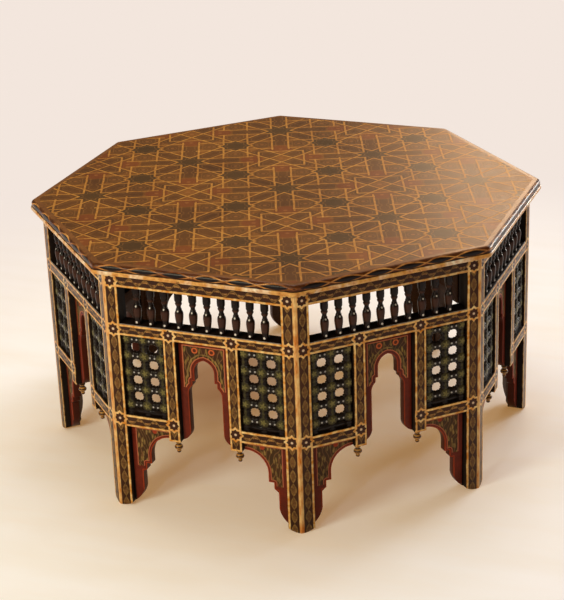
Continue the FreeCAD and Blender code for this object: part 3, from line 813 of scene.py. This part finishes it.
def segmentDistance(x, y, start, end):
    # Measured along and aside from the middle of the line between two points: the root of the squares of
    # what lies beyond its end and what lies aside.
    ux, uy = end[0] - start[0], end[1] - start[1]
    length = math.hypot(ux, uy)
    ux, uy = ux / length, uy / length
    along = x * ux + (y * uy - (start[0] * ux + start[1] * uy + length / 2))
    aside = y * ux - (x * uy + (start[1] * ux - start[0] * uy))
    return hypot(most(abs(along) - length / 2, 0), aside)


def barMask(aside, along, half, middle, reach):  # 1 on a bar, from the distances across it and along it
    return inside(aside - half, 1) * inside(abs(along - middle) - reach, 1)


def topPaintFinish():
    # The plane folds to one triangle of the repeat. The least distance to the straps' centre lines paints
    # them, and the distances to the cells' centres choose the fillings between.
    made = Finish("topPaint")
    lean, half = math.radians(star["turned"]), star["repeat"] / 2
    cosine, sine = math.cos(lean), math.sin(lean)
    px, py = made.x - star["centre"][0], made.y - star["centre"][1]
    along = px * cosine + py * sine + made.noise(30, 1) * 1.1
    aside = py * cosine - px * sine + made.noise(30, 1, (1, 1.2, 1)) * 1.1
    folded = along.maths("PINGPONG", half), aside.maths("PINGPONG", half)
    x, y = most(*folded), least(*folded)

    cornerX, cornerY = abs(x - half), abs(y - half)
    halfStar = least(most(cornerX, y), (cornerX + y) * diagonal)
    strap = least(*(segmentDistance(x, y, *ends) for ends in star["segments"]))
    strap = least(strap, abs(halfStar - star["halfStar"]))

    centre = hypot(x, y)
    rustMiddle, dotMiddle = (roundDistance(x, y, *star[cell], 0) for cell in ("rustCell", "dotCell"))
    petal = barMask(least(y, abs(x - y) * diagonal), centre, *star["petal"])
    small = barMask(least(cornerX, cornerY), most(cornerX, cornerY), *star["cornerBand"])
    rust = inside(rustMiddle - star["rustReach"], 1.5)
    green = most(
        inside(centre - star["eye"], 1), inside(halfStar - star["halfStar"], 1),
        inside(dotMiddle - star["dotReach"], 1) * 0.5,
    )

    brush = made.noise(10, 4)
    patch = made.noise(120, 3)
    fine = made.noise(2.6, 4)
    made.colour = made.mix(patch * 0.8 + brush * 0.3 + 0.45, *star["ground"])
    made.lay(most(petal, small) * 0.5, star["dark"])
    made.lay(green * 0.8, star["green"])
    made.lay(rust * 0.5, star["rust"])
    dots = inside(dotMiddle - 4, 0.8) + inside(rustMiddle - 4, 0.8) + inside(hypot(cornerX, cornerY) - 5, 0.8)
    dots = dots + stroke(dotMiddle - 9.5, 2.2, 0.6) * 0.6
    made.lay(clip(dots) * 0.5, star["dots"])
    inset = stroke(strap - star["inset"], 1.5, 0.6) * (1 - rust)  # a thin second line within each cell
    made.lay(inset * clip(brush * 0.6 + 0.6) * 0.8, star["fineLine"])
    beyond = strap - star["strap"] / 2  # from the edge of the strap
    made.lay(stroke(beyond - 0.6, 1.6, 0.6) * 0.5, star["strapEdge"])
    strapMask = inside(beyond, 0.6)
    strapTone = made.mix(brush * 0.8 + patch * 0.4 + 0.45, *star["strapTone"])
    made.lay(strapMask * clip(fine * 0.8 + 1.0), strapTone)
    wear = clip((made.noise(16, 5, roughness=0.65) - 0.28) * 4)
    made.lay(wear * 0.35, star["worn"])
    made.lay(clip((fine - 0.35) * 4) * 0.4, star["craze"])
    made.lay(inside(made.z - (panelHigh[2] - 0.4), 0.1), woodGrain(made)[0])  # all but the upper face
    relief = strapMask * 0.5 + fine * 0.25 + brush * 0.2
    roughness = clip(0.38 + brush * 0.06 + patch * 0.05 + strapMask * 0.04)
    return made.finish(roughness, made.bump(relief, 0.35, 0.3), specular=0.2)


def edgePaintFinish():
    # By height: a gold lip with cream patches, then long black leaves between two crossing gold waves up to
    # the arris, and plain brown on top.
    made = Finish("edgePaint")
    across, height = handDrawn(made, sideCoordinates(made)[0], 16, 0.6)
    brush = made.noise(9, 3)
    patch = made.noise(44, 3)
    lipTop = edgeLow[2] + edging["lipTop"]
    aside = height - ((lipTop + edgeHigh[2]) / 2 - 0.5)
    phase = (across + made.noise(80, 1) * edging["wander"]) * (math.pi / edging["leafPitch"])
    wave = phase.maths("SINE") * edging["leafReach"]
    leaf = inside(abs(aside) - abs(wave) + 1.2, 0.7)
    lines = most(stroke(aside - wave, edging["line"]), stroke(aside + wave, edging["line"]))
    lineTone = made.mix(patch + 0.4, rgb(176, 92, 32), rgb(240, 178, 98))
    made.colour = made.mix(brush * 0.7 + 0.4, rgb(56, 26, 8), rgb(112, 58, 18))
    made.lay(leaf, rgb(22, 11, 7))
    made.lay(lines * clip(brush * 0.6 + patch * 1.3 + 0.6), lineTone)
    lipTone = made.mix(brush * 0.8 + 0.45, rgb(190, 108, 36), rgb(250, 200, 118))
    lipTone = made.mix(clip(patch * 4) * clip(brush + 0.7), lipTone, rgb(255, 240, 216))
    lipTone = made.mix((made.noise(20, 3) - 0.3) * 5, lipTone, rgb(92, 46, 20))
    made.lay(inside(height - lipTop), lipTone)
    made.lay(stroke(height - lipTop - 0.4, 1.6), rgb(30, 16, 10))
    topTone = made.mix(brush * 0.5 + patch * 0.6 + 0.5, rgb(96, 56, 24), rgb(140, 88, 42))
    made.lay(inside(edgeHigh[2] - 0.7 - height, 0.4), topTone)
    made.lay(inside(made.z - (edgeLow[2] + 0.3), 0.1), paint["woodDark"])
    normal = made.bump(lines * 0.4 + made.noise(2.6, 3) * 0.2, 0.4, 0.4)
    return made.finish(0.32 + brush * 0.07, normal, coat=0.1, coatRoughness=0.16, specular=0.12)


framePaint = framePaintFinish()
boardPaint = boardPaintFinish("boardPaint", board)
bracketPaint = boardPaintFinish("bracketPaint", bracket)
turnedBlack = turnedBlackFinish()
latticeBlack = latticeBlackFinish()
dropBrown = dropBrownFinish()
bareWood = bareWoodFinish()
topPaint = topPaintFinish()
edgePaint = edgePaintFinish()
print("finishes made")


# Pieces

gallery, lattices = joinShapes(spindleShapes()), joinShapes(latticeShapes())
for number in range(1, sides + 1):
    for part, material, slot, width in (
        ("stiles", framePaint, "stile_paint", 1.0),
        ("rails", framePaint, "rail_paint", 0.8),
        ("mullions", framePaint, "stile_paint", 0.8),
        ("arch_board", boardPaint, "board_paint", 0.8),
        ("brackets", bracketPaint, "board_paint", 0.8),
    ):
        easedCopy(f"{part}_side{number}", f"painted_{part}_{number}", material, width)
    for part, node, (points, faces), material, slot in (
        ("gallery", "gallery_spindles", gallery, turnedBlack, "turned_black"),
        ("lattices", "lattices", lattices, latticeBlack, "lattice_black"),
    ):
        points = onSide(points, number - 1)
        makePiece(f"turned_{part}_{number}", points, faces, material, slot, [f"{node}_side{number}"])
print("sides made:", sides)

makePiece("turned_drops", *joinShapes(dropShapes()), dropBrown, "pendant_brown", ["pendants"])
piece = makePiece("painted_edging", *edgingShape(), edgePaint, "edging_paint", ["top_edging"], smooth=False)
mergeClose(piece.data, piece.data)  # the profile's inner points meet at each corner
for name, material, slot in (("top_panel", topPaint, "top_paint"), ("corner_blocks", bareWood, "bare_wood")):
    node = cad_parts[name]
    node.data.materials.clear()
    node.data.materials.append(material)
print("top, edging and drops made")


# Camera, floor and light

view = {
    "azimuth": -68.1077, "elevation": 22.8597, "roll": -2.1529,  # degrees
    "distance": 3.6, "lens": 112.82, "aim": (-0.01741, 0.0, 0.26025),  # metres, millimetres of lens
}


def aimCamera():
    # From the aim, the camera stands at the distance towards the azimuth and elevation, and looks back.
    # Its right and up are turned about that line by the roll.
    azimuth, elevation, roll = (math.radians(view[name]) for name in ("azimuth", "elevation", "roll"))
    level = math.cos(elevation)
    towards = Vector((level * math.cos(azimuth), level * math.sin(azimuth), math.sin(elevation)))
    data = bpy.data.cameras.new("camera")
    data.sensor_fit = "HORIZONTAL"
    data.lens = view["lens"]
    camera = linked("camera", data)
    right = (-towards).cross(Vector((0, 0, 1))).normalized()
    up = right.cross(-towards)
    turnedRight = right * math.cos(roll) + up * math.sin(roll)
    turnedUp = up * math.cos(roll) - right * math.sin(roll)
    matrix = Matrix((turnedRight, turnedUp, towards)).transposed().to_4x4()
    matrix.translation = [aim + view["distance"] * step for aim, step in zip(view["aim"], towards)]
    camera.matrix_world = matrix
    bpy.context.scene.camera = camera


floorLook = {
    "size": 40, "plain": rgb(226, 214, 200),  # metres, and the tone that other rays meet
    "lit": (0.75, 0.88, 1.0), "shade": (0.31, 0.145, 0.035),  # what the light adds, and what a shadow keeps
    # a painted shadow under the table: its lit tone and glow here, its place, stretch, radius and soft edge
    # below
    "streak": (0.69, 0.79, 0.84), "deep": (0.5, 0.46, 0.34), "deepShade": (0.2, 0.07, 0.02),
    "deepPlace": (-222, 100), "deepLong": 0.6, "deepRadius": 110, "deepSoft": 60,
    "far": rgb(243, 230, 221), "evenFrom": 520, "evenOver": 1150,  # away from the table, in millimetres
}


def makeFloor():
    # Seen by the camera, the floor is a light-catching face plus the glow that a shadow keeps, with a painted
    # shadow that darkens a patch under the table, and it fades with the distance to one even tone. All other
    # rays meet a plain pale floor.
    look, half = floorLook, floorLook["size"] / 2
    mesh = bpy.data.meshes.new("floor")
    corners = [(-half, -half, 0), (half, -half, 0), (half, half, 0), (-half, half, 0)]
    mesh.from_pydata(corners, [], [(0, 1, 2, 3)])
    made = Finish("paleFloor")
    made.colour = look["plain"]
    made.finish(0.9, specular=0.1)
    streaks = made.noise(90, 4, (0.3, 1, 1)) * 0.9 + made.noise(500, 1) * 0.5 + 0.65
    # a painted shadow: the floor's tones darken in a soft patch under the table
    deepX, deepY = look["deepPlace"]
    fromPaintedShadow = hypot(made.x - deepX, (made.y - deepY) * look["deepLong"])
    paintedShadow = inside(fromPaintedShadow - look["deepRadius"], look["deepSoft"])  # least light reaches it
    litTone = made.mix(paintedShadow, made.mix(streaks, look["streak"], look["lit"]), look["deep"])
    shadeTone = made.mix(paintedShadow, look["shade"], look["deepShade"])
    seen = made.node("BsdfDiffuse", None, {"Color": litTone})
    glow = made.node("Emission", None, {"Color": shadeTone})
    near = made.node("AddShader", None, {0: seen, 1: glow})
    even = made.node("Emission", None, {"Color": look["far"]})
    away = clip((hypot(made.x, made.y) - look["evenFrom"]) / look["evenOver"])
    fade = made.node("MixShader", None, {0: away * away * (3 - away * 2), 1: near, 2: even})
    rays = ("Is Camera Ray", "Is Glossy Ray", "Is Transmission Ray")
    looked = most(*(Sock(made.tree, made.node("LightPath", output=name)) for name in rays))
    surface = made.node("MixShader", None, {0: looked, 1: made.shader.outputs[0], 2: fade})
    made.tree.links.new(surface, made.tree.nodes["Material Output"].inputs["Surface"])
    mesh.materials.append(made.material)
    linked("floor", mesh)


# position and aim in metres, width in metres, power in watts, colour
lamps = {
    "ceilingLamp": ((-0.2, 0.5, 3.6), (0, 0, 0.2), 2.2, 50, (0.95, 0.98, 1.0)),
    "windowLamp": ((1.29, 3.05, 2.59), (0, 0, 0.3), 1.2, 34, (1.0, 0.99, 0.97)),
    "frontLamp": ((-0.8, -2.1, 1.15), (-0.1, 0, 0.3), 0.7, 21, (1.0, 0.92, 0.68)),
    "glintLamp": ((0.0, -3.2, 1.9), (0, 0, 0.3), 0.16, 9, (1.0, 0.97, 0.92)),
    "backLamp": ((-0.3, 4.4, 2.0), (0.2, 0, 0.5), 1.3, 49, (1.0, 0.70, 0.45)),
    "lowLamp": ((1.8, 2.56, 0.67), (0.2, 0, 0.3), 0.8, 38, (1.0, 0.97, 0.92)),
    "leftLamp": ((-2.6, 0.6, 2.4), (0, 0, 0.3), 1.0, 8, (1.0, 0.74, 0.36)),
}
roomLight = {"colour": rgb(240, 220, 188), "strength": 0.23}


def lightRoom():  # soft square lamps, and a weak even light from all round
    for name, (position, aim, width, power, colour) in lamps.items():
        data = bpy.data.lights.new(name, "AREA")
        data.size, data.energy, data.color = width, power, colour
        lamp = linked(name, data)
        lamp.location = position
        lamp.rotation_euler = (Vector(aim) - Vector(position)).to_track_quat("-Z", "Y").to_euler()
    world = bpy.data.worlds.new("room")
    bpy.context.scene.world = world
    world.use_nodes = True
    background = world.node_tree.nodes["Background"].inputs
    background["Color"].default_value = (*roomLight["colour"], 1)
    background["Strength"].default_value = roomLight["strength"]


aimCamera()
makeFloor()
lightRoom()
bpy.context.scene.view_settings.view_transform = "Standard"
print("camera, floor and light set")
